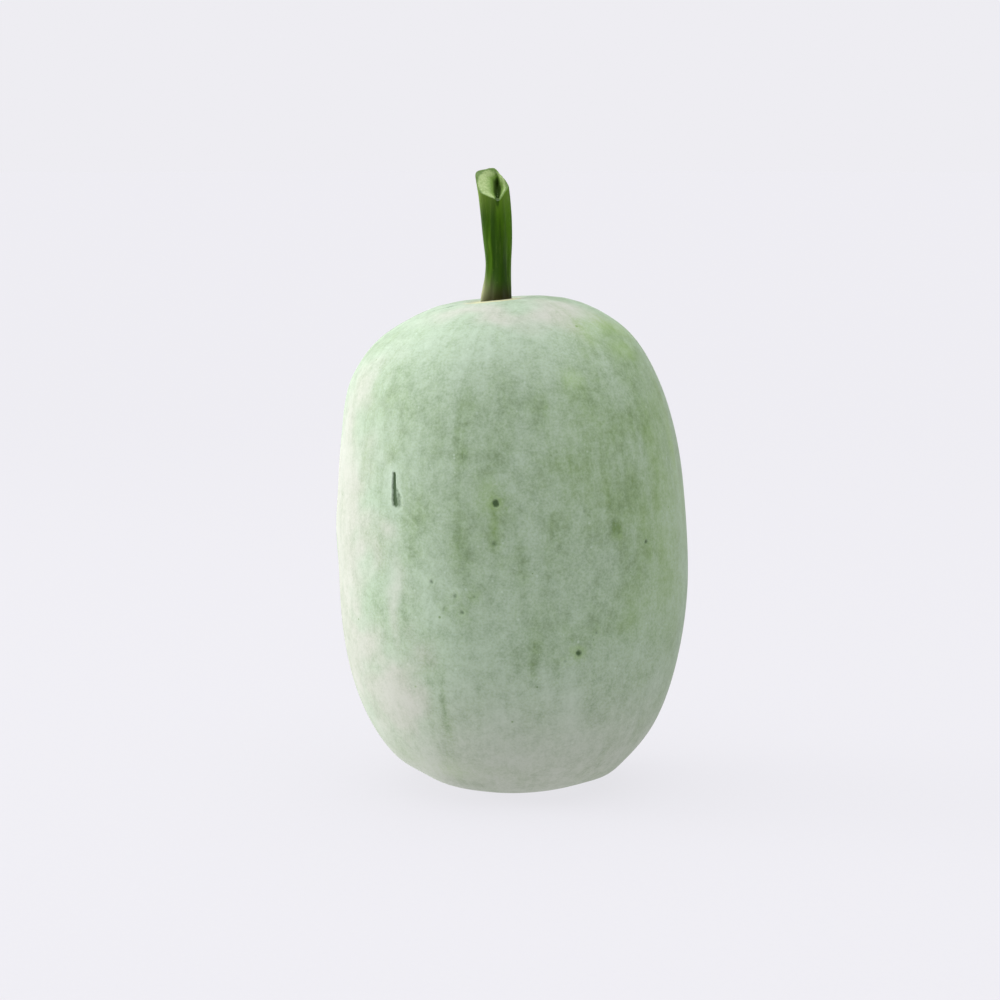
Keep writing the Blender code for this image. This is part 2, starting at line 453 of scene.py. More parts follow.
# Where the rind under it has ripened to a yellower green.
RIPE = [
    (on_side(58.0, 0.234), 0.0260, 0.014, 0.60),
    (on_side(60.0, 0.2215), 0.0100, 0.008, 0.60),
    (on_side(23.7, 0.2085), 0.0060, 0.006, 0.70),
    (on_side(-29.0, 0.0180), 0.0220, 0.008, 0.80),
    (on_side(74.0, 0.165), 0.0080, 0.045, 0.55),
    (on_side(30.0, 0.175), 0.0350, 0.040, 0.22),
    (on_side(62.0, 0.140), 0.0260, 0.080, 0.45),
    (on_side(-7.5, 0.157), 0.0070, 0.008, 0.50),
    (on_side(-6.5, 0.142), 0.0034, 0.012, 0.28),
    (on_side(-135.0, 0.225), 0.0200, 0.012, 0.60),
    (on_side(140.0, 0.030), 0.0300, 0.010, 0.60),
]
kept_at = {}
for name, patches in (("thin_bloom_and_shade", THIN_BLOOM_AND_SHADE), ("thick", THICK), ("fresh_bloom_and_light", FRESH_BLOOM_AND_LIGHT), ("ripe", RIPE)):
    amount = np.zeros(len(gourd_points))
    for place, across, along, strength in patches:
        amount = np.maximum(amount, strength * patch(gourd_points, place, across, along, wander))
    kept_at[name] = amount
# Bloom is also thick low down and around the stem's seat, and fresh beside a scratch. A pit has an olive ring
# around it.
LOW_BLOOM_HEIGHT = 0.075
low_down = np.exp(-((gourd_points[:, 2] / LOW_BLOOM_HEIGHT) ** 2))
for name, amount in (
    ("thick", 0.55 * low_down),
    ("thick", 0.60 * seat_ring),
    ("fresh_bloom_and_light", 0.60 * by_scratch),
    ("ripe", 0.40 * by_pit),
    ("thin_bloom_and_shade", 0.45 * by_pit),
):
    kept_at[name] = np.maximum(kept_at[name], amount)
for name, amount in kept_at.items():
    keep_layer(gourd, name, amount)

# Marks are sunk and have a low lip, the blossom scar is a hollow, rings of growth run round the seat, and the
# skin is drawn up in puckers round the blossom scar.
MARK_DEPTH = 0.0007
LIP_HEIGHT = 0.00014
SCAR_DEPTH = 0.0009
RING_HEIGHT = 0.00035
RING_SPACING = 0.0085
RING_FADE = 0.016
PUCKERS = 9
PUCKER_HEIGHT = 0.00028
PUCKER_REACH = 0.011
PUCKER_START = 0.004
relief_depth = -MARK_DEPTH * sunk + LIP_HEIGHT * lip * (1 - sunk) - SCAR_DEPTH * blossom ** 0.6
outside_seat = np.maximum(seat_gap, 0)
rings = np.cos(2 * math.pi * outside_seat / RING_SPACING) * np.exp(-outside_seat / RING_FADE)
relief_depth += np.where(seat_gap > -SEAT_RADIUS, RING_HEIGHT * rings, 0.0)
turn_below = np.arctan2(gourd_points[:, 1], gourd_points[:, 0])
near_scar = np.exp(-((scar_gap / PUCKER_REACH) ** 2))
puckers = np.cos(PUCKERS * turn_below + 1.5 * wander[:, 1]) * near_scar
puckers *= np.clip(scar_gap / PUCKER_START, 0, 1)
relief_depth += np.where(under, PUCKER_HEIGHT * puckers - PUCKER_HEIGHT * near_scar, 0.0)
press(gourd, "relief", relief_depth)
only(gourd)
bpy.ops.object.shade_smooth()


def add(tree, kind, values=None, **settings):
    """One node with its settings. Values may be numbers, or outputs of other nodes to link."""
    made = tree.nodes.new(kind)
    for name, value in settings.items():
        setattr(made, name, value)
    for socket, value in (values or {}).items():
        if isinstance(value, bpy.types.NodeSocket):
            tree.links.new(value, made.inputs[socket])
        else:
            made.inputs[socket].default_value = value
    return made


def calc(tree, operation, first, second=0.0, clamp=False):
    values = {0: first, 1: second}
    return add(tree, "ShaderNodeMath", values, operation=operation, use_clamp=clamp).outputs[0]


def between(tree, value, low, high, to_low=0.0, to_high=1.0):
    """Smooth step from low to high."""
    values = {"Value": value, "From Min": low, "From Max": high, "To Min": to_low, "To Max": to_high}
    return add(tree, "ShaderNodeMapRange", values, interpolation_type="SMOOTHSTEP").outputs["Result"]


def blend_colours(tree, share, first, second):
    """The first colour, with this share of the second in it."""
    return add(tree, "ShaderNodeMix", {0: share, 6: first, 7: second}, data_type="RGBA").outputs[2]


def cloudy(tree, vector, size, detail=2.0, rough=0.5):
    """Soft noise whose blotches are about this size in metres."""
    values = {"Vector": vector, "Scale": 1 / size, "Detail": detail, "Roughness": rough}
    return add(tree, "ShaderNodeTexNoise", values).outputs["Fac"]


def layer_value(tree, name):
    """Reads the numbers that keep_layer stored on the mesh."""
    return add(tree, "ShaderNodeAttribute", attribute_name=name).outputs["Fac"]


def new_group(name, inputs, outputs):
    """An empty shader node group with these sockets: name and kind, and a default for each input."""
    group = bpy.data.node_groups.new(name, "ShaderNodeTree")
    for label, kind, default in inputs:
        socket = group.interface.new_socket(name=label, in_out="INPUT", socket_type=kind)
        if default is not None:
            socket.default_value = default
    for label, kind in outputs:
        group.interface.new_socket(name=label, in_out="OUTPUT", socket_type=kind)
    return group, group.nodes.new("NodeGroupInput").outputs, group.nodes.new("NodeGroupOutput").inputs


# Positions drawn out along the upright axis, so that noise read at them makes streaks from end to end.
drawn_out, given, result = new_group(
    "drawn_out",
    [
        ("Position", "NodeSocketVector", None),
        ("Girth", "NodeSocketFloat", 0.08),
        ("Stretch", "NodeSocketFloat", 8.0),
    ],
    [("Vector", "NodeSocketVector")],
)
level = add(drawn_out, "ShaderNodeVectorMath", {0: given["Position"], 1: (1, 1, 0)}, operation="MULTIPLY")
outward = add(drawn_out, "ShaderNodeVectorMath", {0: level.outputs[0]}, operation="NORMALIZE")
around = add(drawn_out, "ShaderNodeVectorMath", {0: outward.outputs[0]}, operation="SCALE")
drawn_out.links.new(given["Girth"], around.inputs["Scale"])
height = add(drawn_out, "ShaderNodeSeparateXYZ", {0: given["Position"]}).outputs["Z"]
slow_height = calc(drawn_out, "DIVIDE", height, given["Stretch"])
upright = add(drawn_out, "ShaderNodeCombineXYZ", {"Z": slow_height})
both = add(drawn_out, "ShaderNodeVectorMath", {0: around.outputs[0], 1: upright.outputs[0]}, operation="ADD")
drawn_out.links.new(both.outputs[0], result["Vector"])

# Scattered round dots, each of its own size, with a share of the places left empty.
dots, given, result = new_group(
    "dots",
    [
        ("Position", "NodeSocketVector", None),
        ("Spacing", "NodeSocketFloat", 0.006),
        ("Radius", "NodeSocketFloat", 0.15),
        ("Share", "NodeSocketFloat", 0.6),
    ],
    [("Mask", "NodeSocketFloat")],
)
density = calc(dots, "DIVIDE", 1.0, given["Spacing"])
cells = add(dots, "ShaderNodeTexVoronoi", {"Vector": given["Position"], "Scale": density})
chance = add(dots, "ShaderNodeSeparateColor", {0: cells.outputs["Color"]})
size = calc(dots, "MULTIPLY", given["Radius"], calc(dots, "ADD", chance.outputs["Green"], 0.4))
inner = calc(dots, "MULTIPLY", size, 0.4)
disc = between(dots, cells.outputs["Distance"], size, inner)
present = calc(dots, "LESS_THAN", chance.outputs["Red"], given["Share"])
dots.links.new(calc(dots, "MULTIPLY", disc, present), result["Mask"])

# Fine unevenness of living plant skin: a mask for colour and a height for the surface.
plant_grain, given, result = new_group(
    "plant_grain",
    [("Position", "NodeSocketVector", None), ("Size", "NodeSocketFloat", 0.001)],
    [("Mask", "NodeSocketFloat"), ("Height", "NodeSocketFloat")],
)
fineness = calc(plant_grain, "DIVIDE", 1.0, given["Size"])
coarse = add(
    plant_grain,
    "ShaderNodeTexNoise",
    {"Vector": given["Position"], "Scale": fineness, "Detail": 4.0, "Roughness": 0.62},
).outputs["Fac"]
pebbles = add(plant_grain, "ShaderNodeTexVoronoi", {"Vector": given["Position"], "Scale": fineness})
pebble_height = calc(plant_grain, "MULTIPLY", pebbles.outputs["Distance"], 0.5)
pebbled = calc(plant_grain, "SUBTRACT", coarse, pebble_height)
plant_grain.links.new(between(plant_grain, coarse, 0.32, 0.68), result["Mask"])
plant_grain.links.new(pebbled, result["Height"])


def use_group(tree, group, values):
    return add(tree, "ShaderNodeGroup", values, node_tree=group).outputs


def new_material(name):
    material = bpy.data.materials.new(name)
    material.use_nodes = True
    tree = material.node_tree
    return material, tree, tree.nodes["Principled BSDF"]


RIND_GREEN = (0.115, 0.195, 0.062, 1)
RIPE_GREEN = (0.280, 0.445, 0.110, 1)
BLOOM_WHITE = (0.440, 0.545, 0.420, 1)
BLOOM_CREAM = (0.500, 0.515, 0.445, 1)
CORK_DARK = (0.032, 0.076, 0.018, 1)
SEAT_STRAW = (0.560, 0.560, 0.300, 1)
CORK_PALE = (0.330, 0.300, 0.190, 1)

waxy_rind, tree, shader = new_material("waxy_rind")
place = add(tree, "ShaderNodeTexCoord").outputs["Object"]
centred = add(tree, "ShaderNodeMapping", {"Vector": place, "Location": tuple(-gourd_middle)}).outputs[0]
streak_place = use_group(tree, drawn_out, {"Position": centred, "Girth": 0.085, "Stretch": 5.0})["Vector"]
broad = cloudy(tree, centred, 0.060, detail=2.0)
streaks = cloudy(tree, streak_place, 0.014, detail=3.0, rough=0.6)
threads = cloudy(tree, streak_place, 0.0036, detail=3.0, rough=0.6)
blotches = cloudy(tree, centred, 0.0180, detail=3.0)
mottle = cloudy(tree, centred, 0.0050, detail=4.0, rough=0.65)
flecks = cloudy(tree, centred, 0.0022, detail=3.0, rough=0.6)
grain = use_group(tree, plant_grain, {"Position": centred, "Size": 0.0011})
powder = use_group(tree, plant_grain, {"Position": centred, "Size": 0.00042})
thin_bloom_and_shade = layer_value(tree, "thin_bloom_and_shade")
thick = layer_value(tree, "thick")
fresh_bloom_and_light = layer_value(tree, "fresh_bloom_and_light")
ripe = layer_value(tree, "ripe")
scar = layer_value(tree, "scar")
seat_ring = layer_value(tree, "seat")
blossom_scar = layer_value(tree, "blossom")


def swing(tree, value, amount):
    """Turns a 0-to-1 value into one that swings by this much either side of nothing."""
    return calc(tree, "MULTIPLY", calc(tree, "SUBTRACT", value, 0.5), amount)


# How much of the rind the bloom covers, from 0 to 1, and then the colours that the cover lets through.
patchiness = between(tree, cloudy(tree, centred, 0.045, detail=1.0), 0.35, 0.65, 0.25, 1.0)
MEAN_COVER = 0.60
cover = calc(tree, "ADD", MEAN_COVER, swing(tree, broad, 0.35))
cover = calc(tree, "ADD", cover, calc(tree, "MULTIPLY", swing(tree, streaks, 0.75), patchiness))
for part, amount in (
    (threads, 0.16),
    (blotches, 0.50),
    (mottle, 0.50),
    (flecks, 0.22),
    (grain["Mask"], 0.14),
):
    cover = calc(tree, "ADD", cover, swing(tree, part, amount))
# Thinner bloom, which on the right side and the upper left shoulder is painted shade.
ragged_thin_and_shade = calc(tree, "MULTIPLY", thin_bloom_and_shade, between(tree, threads, 0.25, 0.75, 0.45, 1.4))
cover = calc(tree, "SUBTRACT", cover, calc(tree, "MULTIPLY", ragged_thin_and_shade, 0.55))
cover = calc(tree, "ADD", cover, calc(tree, "MULTIPLY", thick, 0.36))
# Fresher bloom, which high on the front is painted light.
cover = calc(tree, "ADD", cover, calc(tree, "MULTIPLY", fresh_bloom_and_light, 0.26))
pale_dot_values = {"Position": centred, "Spacing": 0.0058, "Radius": 0.13, "Share": 0.55}
bare_dot_values = {"Position": centred, "Spacing": 0.0094, "Radius": 0.085, "Share": 0.35}
pale_dots = use_group(tree, dots, pale_dot_values)["Mask"]
bare_dots = use_group(tree, dots, bare_dot_values)["Mask"]
cover = calc(tree, "ADD", cover, calc(tree, "MULTIPLY", pale_dots, 0.22))
cover = calc(tree, "SUBTRACT", cover, calc(tree, "MULTIPLY", bare_dots, 0.50))
cover = between(tree, cover, -0.05, 1.10)

rind_tone = blend_colours(tree, calc(tree, "MULTIPLY", ripe, 1.0, clamp=True), RIND_GREEN, RIPE_GREEN)
rind_tone = blend_colours(tree, between(tree, mottle, 0.35, 0.7, 0.0, 0.25), rind_tone, RIPE_GREEN)
bloom_tone = blend_colours(tree, between(tree, thick, 0.1, 0.7), BLOOM_WHITE, BLOOM_CREAM)
skin_colour = blend_colours(tree, cover, rind_tone, bloom_tone)
cork_tone = blend_colours(tree, grain["Mask"], CORK_DARK, CORK_PALE)
scar_share = between(tree, calc(tree, "ADD", scar, swing(tree, grain["Mask"], 0.20)), 0.05, 0.75)
skin_colour = blend_colours(tree, calc(tree, "MULTIPLY", scar_share, 0.92), skin_colour, CORK_DARK)
seat_share = between(tree, calc(tree, "ADD", seat_ring, swing(tree, mottle, 0.30)), 0.55, 1.05, 0.0, 0.85)
skin_colour = blend_colours(tree, seat_share, skin_colour, SEAT_STRAW)
blossom_share = between(tree, calc(tree, "ADD", blossom_scar, swing(tree, mottle, 0.3)), 0.05, 0.35)
skin_colour = blend_colours(tree, blossom_share, skin_colour, cork_tone)
tree.links.new(skin_colour, shader.inputs["Base Color"])

# Bare rind is waxy and a little glossy, and bloom is dry and dull.
BARE_ROUGHNESS = 0.46
BLOOM_ROUGHNESS = 0.78
dryness = between(tree, cover, 0.1, 0.9, BARE_ROUGHNESS, BLOOM_ROUGHNESS)
tree.links.new(dryness, shader.inputs["Roughness"])
relief = calc(tree, "MULTIPLY", powder["Height"], 0.35)
relief = calc(tree, "ADD", relief, calc(tree, "MULTIPLY", grain["Height"], 0.6))
relief = calc(tree, "ADD", relief, calc(tree, "MULTIPLY", threads, 1.2))
relief = calc(tree, "ADD", relief, calc(tree, "MULTIPLY", cover, 0.8))
bump = add(tree, "ShaderNodeBump", {"Height": relief, "Distance": 0.00012, "Strength": 0.7})
tree.links.new(bump.outputs[0], shader.inputs["Normal"])
shader.inputs["Sheen Weight"].default_value = 0.08
shader.inputs["Sheen Roughness"].default_value = 0.45
shader.inputs["Sheen Tint"].default_value = (0.92, 1.0, 0.92, 1)
shader.inputs["Specular IOR Level"].default_value = 0.35

gourd.data.materials.append(waxy_rind)
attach(gourd, "root")
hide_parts("fruit")

# ---------------------------------------------------------------------------------------------
# The stem. A stout woody stalk with five soft ridges, green outside and pale inside. It grew out of
# the hollow in the gourd's upper end, and the picker cut it off slantwise, which shows its flesh and
# the dark split down its middle.
# ---------------------------------------------------------------------------------------------
stem_low, stem_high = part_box("stem")
stem_former = smooth_former(frame["nodes"]["stem"])
STEM_AROUND = 40
STEM_STEPS = 18
RIDGES = 5
# Girth on a ridge, and then further and further down its side to the middle of the furrow.
RIDGE_SWELLS = (1.10, 1.045, 0.99, 0.945, 0.925)
RIDGE_REACH = 1.06
CUT_SLANT = math.radians(44)
CUT_FACING = math.radians(-83)
CUT_BELOW_TIP = 0.0016
# Heights above the stem's lowest point: the ring that the foot is drawn down from, and the next one up.
FOOT_RING = 0.0030
SECOND_RING = 0.0060
# The stalk is drawn on past its tip by this much, for the knife to take off.
SPARE_STALK = 0.0040
cut_normal = Vector((
    math.sin(CUT_SLANT) * math.cos(CUT_FACING),
    math.sin(CUT_SLANT) * math.sin(CUT_FACING),
    math.cos(CUT_SLANT),
))


def stem_section(height):
    """Centre and mean radius of the stem solid at this height, felt from its axis outwards."""
    centre = Vector(((stem_low.x + stem_high.x) / 2, (stem_low.y + stem_high.y) / 2, height))
    turns = [2 * math.pi * k / 20 for k in range(20)]
    for _ in range(4):
        hits = [stem_former.ray_cast(centre, Vector((math.cos(t), math.sin(t), 0.0)))[1] for t in turns]
        centre = sum(hits, Vector()) / len(hits)
    return centre, sum((hit - centre).length for hit in hits) / len(hits)


# The solid has full rings only between its tilted seat and its slanting cut, so its line and its girth are
# read there. A smooth curve carries the line on to both ends, and the girth stays as at the last ring.
FELT_FROM = stem_low.z + 0.0040
FELT_TO = stem_high.z - 0.0175
felt = [stem_section(height) for height in np.linspace(FELT_FROM, FELT_TO, 14)]
felt_heights = [centre.z for centre, _ in felt]
felt_radii = [radius for _, radius in felt]
sideways_line = np.polyfit(felt_heights, [centre.x for centre, _ in felt], 2)
forward_line = np.polyfit(felt_heights, [centre.y for centre, _ in felt], 2)


# The stalk isn't an even rod. At each height above its foot: its girth against the solid's, and how far it
# leans aside.
STALK_HEIGHTS = (0.000, 0.004, 0.009, 0.017, 0.032, 0.057, 0.067)
STALK_GIRTHS = (0.97, 0.93, 0.90, 0.88, 1.00, 1.03, 1.04)
STALK_LEANS = (-0.0018, -0.0014, -0.0010, -0.0006, -0.0005, 0.0008, 0.0012)


def stem_at(height):
    """Centre and mean radius of the stem at any height."""
    above = height - stem_low.z
    lean = np.interp(above, STALK_HEIGHTS, STALK_LEANS)
    centre = Vector((np.polyval(sideways_line, height) + lean, np.polyval(forward_line, height), height))
    girth = np.interp(above, STALK_HEIGHTS, STALK_GIRTHS)
    return centre, float(np.interp(height, felt_heights, felt_radii) * girth)


centre, radius = stem_at(stem_low.z + FOOT_RING)
bpy.ops.object.select_all(action="DESELECT")
bpy.ops.mesh.primitive_circle_add(vertices=STEM_AROUND, radius=radius, fill_type="NOTHING", location=centre)
stem = bpy.context.active_object
stem.name = "gourd_stem"
bpy.ops.object.transform_apply(location=True, rotation=False, scale=False)
ring = edit(stem)
side = STEM_AROUND // RIDGES
for step, swell in enumerate(RIDGE_SWELLS):
    bpy.ops.mesh.select_all(action="DESELECT")
    ring.verts.ensure_lookup_table()
    for vert in ring.verts:
        turn = math.degrees(math.atan2(vert.co.y - centre.y, vert.co.x - centre.x))
        place_in_side = round(turn / 360 * STEM_AROUND) % side
        vert.select_set(min(place_in_side, side - place_in_side) == step)
    ring.select_flush_mode()
    bpy.ops.transform.resize(value=(swell, swell, 1), center_override=centre)
bpy.ops.mesh.select_all(action="SELECT")


def draw_on(start, end, widen):
    """Extrudes the selected ring from one centre to the next, and widens it there."""
    bpy.ops.mesh.extrude_region_move(TRANSFORM_OT_translate={"value": end - start})
    bpy.ops.transform.resize(value=(widen, widen, 1), center_override=end)


for height in np.linspace(stem_low.z + SECOND_RING, stem_high.z + SPARE_STALK, STEM_STEPS):
    higher, higher_radius = stem_at(height)
    draw_on(centre, higher, higher_radius / radius)
    centre, radius = higher, higher_radius
bpy.ops.mesh.edge_face_add()

# The foot: the lowest ring is drawn down and out until it has sunk into the rind.
bpy.ops.mesh.select_all(action="DESELECT")
stalk = bmesh.from_edit_mesh(stem.data)
for vert in stalk.verts:
    vert.select_set(vert.co.z < stem_low.z + (FOOT_RING + SECOND_RING) / 2)
stalk.select_flush_mode()
foot = stem_at(stem_low.z + FOOT_RING)[0]
for drop, widen in ((0.0016, 1.02), (0.0014, 1.03), (0.0014, 1.04), (0.0014, 1.04)):
    lower = foot - Vector((0.0, 0.0, drop))
    draw_on(foot, lower, widen)
    foot = lower
bpy.ops.mesh.edge_face_add()
bpy.ops.mesh.select_all(action="SELECT")
bpy.ops.mesh.normals_make_consistent(inside=False)

# The picker's knife: one slanting cut, its highest edge a little below the top of the solid.
steep = math.tan(CUT_SLANT)
cut_centre = stem_at(stem_high.z - CUT_BELOW_TIP - felt_radii[-1] * steep * RIDGE_REACH)[0]
bpy.ops.mesh.bisect(plane_co=cut_centre, plane_no=cut_normal, use_fill=True, clear_outer=True)
bpy.ops.mesh.select_all(action="SELECT")
bpy.ops.mesh.remove_doubles(threshold=0.0002)
bpy.ops.mesh.normals_make_consistent(inside=False)
stalk = bmesh.from_edit_mesh(stem.data)
bpy.ops.mesh.select_all(action="DESELECT")
cut_face = max(stalk.faces, key=lambda f: f.normal.dot(cut_normal) * len(f.verts))
cut_face.select_set(True)
cut_middle = cut_face.calc_center_median()
bmesh.update_edit_mesh(stem.data)
# From the knife's edge inwards: the edge of the rind, the flesh that has shrunk into a hollow, and the split
# down its middle. Each step is a ring: how much smaller it is across and along the slope, how far it moves
# aside, and how far it sinks.
CUT_STEPS = (
    (0.975, 0.975, 0.0000, -0.00005),
    (0.945, 0.950, 0.0002, 0.00006),
    (0.850, 0.920, 0.0005, 0.00035),
    (0.740, 0.900, 0.0009, 0.00060),
    (0.640, 0.900, 0.0009, 0.00090),
    (0.540, 0.900, 0.0006, 0.00150),
    (0.480, 0.880, 0.0003, 0.00180),
    (0.500, 0.820, 0.0000, 0.00120),
)
for across, along, aside, sink in CUT_STEPS:
    lower = cut_middle - cut_normal * sink + Vector((aside, 0.0, 0.0))
    draw = {"value": lower - cut_middle}
    bpy.ops.mesh.extrude_region_move(TRANSFORM_OT_translate=draw)
    bpy.ops.transform.resize(value=(across, along, along), center_override=lower)
    cut_middle = lower
bpy.ops.mesh.poke()
for _ in CUT_STEPS[1:]:
    bpy.ops.mesh.select_more()
stem.data.materials.append(None)
stem.data.materials.append(None)
stem.active_material_index = 1
bpy.ops.object.material_slot_assign()
bpy.ops.object.mode_set(mode="OBJECT")
apply_modifier(stem, "SUBSURF", levels=2, render_levels=2)

# The split runs out through the lower edge of the cut, a little to the right.
SPLIT_ASIDE = Vector((0.0020, 0.0, 0.0))
SPLIT_DEPTH = 0.0007
down_slope = Vector((
    math.cos(CUT_SLANT) * math.cos(CUT_FACING),
    math.cos(CUT_SLANT) * math.sin(CUT_FACING),
    -math.sin(CUT_SLANT),
))
split_end = cut_centre + down_slope * (felt_radii[-1] / math.cos(CUT_SLANT)) + SPLIT_ASIDE
split = patch(points_of(stem), (split_end, cut_normal), 0.0012, 0.0048)
press(stem, "split_groove", -SPLIT_DEPTH * split)
keep_layer(stem, "split", split)

# How far into the hollow of the cut each point has sunk, and how near it is to the edge of the cut.
CORE_START = 0.0004
CORE_DEPTH = 0.0034
stem_points = points_of(stem)
over_cut = (stem_points - np.array(cut_centre)) @ np.array(cut_normal)
keep_layer(stem, "core", np.clip((-over_cut - CORE_START) / CORE_DEPTH, 0, 1))
from_axis = np.linalg.norm((stem_points - np.array(cut_centre))[:, :2], axis=1)
keep_layer(stem, "from_axis", from_axis / felt_radii[-1])

# The stalk is painted lighter at the left of its foot and on its left side just below the cut: painted light
# where it faces the softbox.
foot_centre, foot_radius = stem_at(stem_low.z + FOOT_HEIGHT)
left_of_foot = foot_centre + Vector((-foot_radius, -0.25 * foot_radius, 0.0))
painted_light_foot = patch(stem_points, (left_of_foot, Vector((-1.0, -0.2, 0.0)).normalized()), 0.0042, 0.0060)
keep_layer(stem, "painted_light_foot", painted_light_foot)
pale_centre, pale_radius = stem_at(stem_high.z - 0.0150)
left_of_top = pale_centre + Vector((-0.95 * pale_radius, -0.35 * pale_radius, 0.0))
painted_light_side = patch(stem_points, (left_of_top, Vector((-0.95, -0.35, 0.0)).normalized()), 0.0040, 0.0075)
keep_layer(stem, "painted_light_side", painted_light_side)

displace_in_runs(stem, "stem_bark", 0.0035, 7.0, 0.0006)
only(stem)
bpy.ops.object.shade_smooth_by_angle(angle=math.radians(50))

STALK_DARK = (0.018, 0.054, 0.0006, 1)
STALK_GREEN = (0.056, 0.140, 0.0008, 1)
STALK_LIGHT = (0.200, 0.310, 0.050, 1)
STALK_DRY_AND_SHADE = (0.026, 0.022, 0.006, 1)
FOOT_LIGHT_PAINT = (0.420, 0.430, 0.230, 1)
FLESH_PALE = (0.420, 0.540, 0.230, 1)
FLESH_DEEP = (0.140, 0.270, 0.030, 1)

# The green outside of the stalk: dark and light bands along it, dark brown at its foot, partly dried and
# partly painted shade where it meets the rind, and lighter at its top.
ridged_green, tree, shader = new_material("ridged_green")
place = add(tree, "ShaderNodeTexCoord").outputs["Object"]
stem_middle = stem_at((stem_low.z + stem_high.z) / 2)[0]
centred = add(tree, "ShaderNodeMapping", {"Vector": place, "Location": tuple(-stem_middle)}).outputs[0]
fibre_place = use_group(tree, drawn_out, {"Position": centred, "Girth": 0.0075, "Stretch": 11.0})["Vector"]
fibres = cloudy(tree, fibre_place, 0.0016, detail=3.0, rough=0.6)
bands = cloudy(tree, fibre_place, 0.0050, detail=2.0)
blotches = cloudy(tree, centred, 0.0110, detail=2.0)
grain = use_group(tree, plant_grain, {"Position": centred, "Size": 0.0007})
pore_values = {"Position": centred, "Spacing": 0.0016, "Radius": 0.16, "Share": 0.45}
pores = use_group(tree, dots, pore_values)["Mask"]
up_stem = add(tree, "ShaderNodeSeparateXYZ", {0: place}).outputs["Z"]
near_foot = between(tree, up_stem, stem_low.z + 0.012, stem_low.z + 0.001)
painted_light_foot = layer_value(tree, "painted_light_foot")
near_top = between(tree, up_stem, stem_high.z - 0.028, stem_high.z - 0.010)
tone = blend_colours(tree, between(tree, bands, 0.35, 0.65), STALK_DARK, STALK_GREEN)
tone = blend_colours(tree, between(tree, fibres, 0.52, 0.82, 0.0, 0.35), tone, STALK_LIGHT)
tone = blend_colours(tree, calc(tree, "MULTIPLY", near_top, 0.30), tone, STALK_LIGHT)
# Dark brown at the foot: dried tissue, and painted shade where the stalk meets the rind.
tone = blend_colours(tree, calc(tree, "MULTIPLY", near_foot, 0.88), tone, STALK_DRY_AND_SHADE)
# Painted light: a pale strip at the left of the foot, which faces the softbox.
tone = blend_colours(tree, calc(tree, "MULTIPLY", painted_light_foot, 0.85, clamp=True), tone, FOOT_LIGHT_PAINT)
# Painted light on the left side just below the cut.
tone = blend_colours(tree, calc(tree, "MULTIPLY", layer_value(tree, "painted_light_side"), 0.55), tone, STALK_LIGHT)
tone = blend_colours(tree, calc(tree, "MULTIPLY", pores, 0.22), tone, STALK_LIGHT)
tone = blend_colours(tree, between(tree, layer_value(tree, "split"), 0.25, 0.70, 0.0, 0.8), tone, STALK_DARK)
tree.links.new(tone, shader.inputs["Base Color"])
tree.links.new(between(tree, blotches, 0.3, 0.7, 0.42, 0.62), shader.inputs["Roughness"])
relief = calc(tree, "ADD", calc(tree, "MULTIPLY", fibres, 1.0), calc(tree, "MULTIPLY", grain["Height"], 0.4))
relief = calc(tree, "ADD", relief, calc(tree, "MULTIPLY", pores, 0.3))
bump = add(tree, "ShaderNodeBump", {"Height": relief, "Distance": 0.00025, "Strength": 0.8})
tree.links.new(bump.outputs[0], shader.inputs["Normal"])
shader.inputs["Specular IOR Level"].default_value = 0.08

# The cut: a green edge, pale mottled flesh, and flesh that is darker the deeper it lies in the hollow,
# darkest along the split.
cut_flesh, tree, shader = new_material("cut_flesh")
place = add(tree, "ShaderNodeTexCoord").outputs["Object"]
from_axis = layer_value(tree, "from_axis")
core = layer_value(tree, "core")
mottle = cloudy(tree, place, 0.0012, detail=4.0, rough=0.65)
grain = use_group(tree, plant_grain, {"Position": place, "Size": 0.0004})
rim = between(tree, calc(tree, "ADD", from_axis, swing(tree, mottle, 0.12)), 0.84, 0.98)
tone = blend_colours(tree, between(tree, mottle, 0.3, 0.7, 0.0, 0.6), FLESH_PALE, FLESH_DEEP)
tone = blend_colours(tree, calc(tree, "MULTIPLY", rim, 0.8), tone, STALK_GREEN)
tone = blend_colours(tree, between(tree, core, 0.05, 0.45, 0.0, 0.8), tone, FLESH_DEEP)
tone = blend_colours(tree, between(tree, core, 0.45, 0.95, 0.0, 0.80), tone, STALK_DARK)
tone = blend_colours(tree, between(tree, layer_value(tree, "split"), 0.25, 0.70, 0.0, 0.9), tone, STALK_DARK)
tree.links.new(tone, shader.inputs["Base Color"])
shader.inputs["Roughness"].default_value = 0.5
shader.inputs["Specular IOR Level"].default_value = 0.3
bump = add(tree, "ShaderNodeBump", {"Height": grain["Height"], "Distance": 0.0002, "Strength": 0.6})
tree.links.new(bump.outputs[0], shader.inputs["Normal"])
stem.data.materials[0] = ridged_green
stem.data.materials[1] = cut_flesh

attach(stem, "root")
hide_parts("stem")

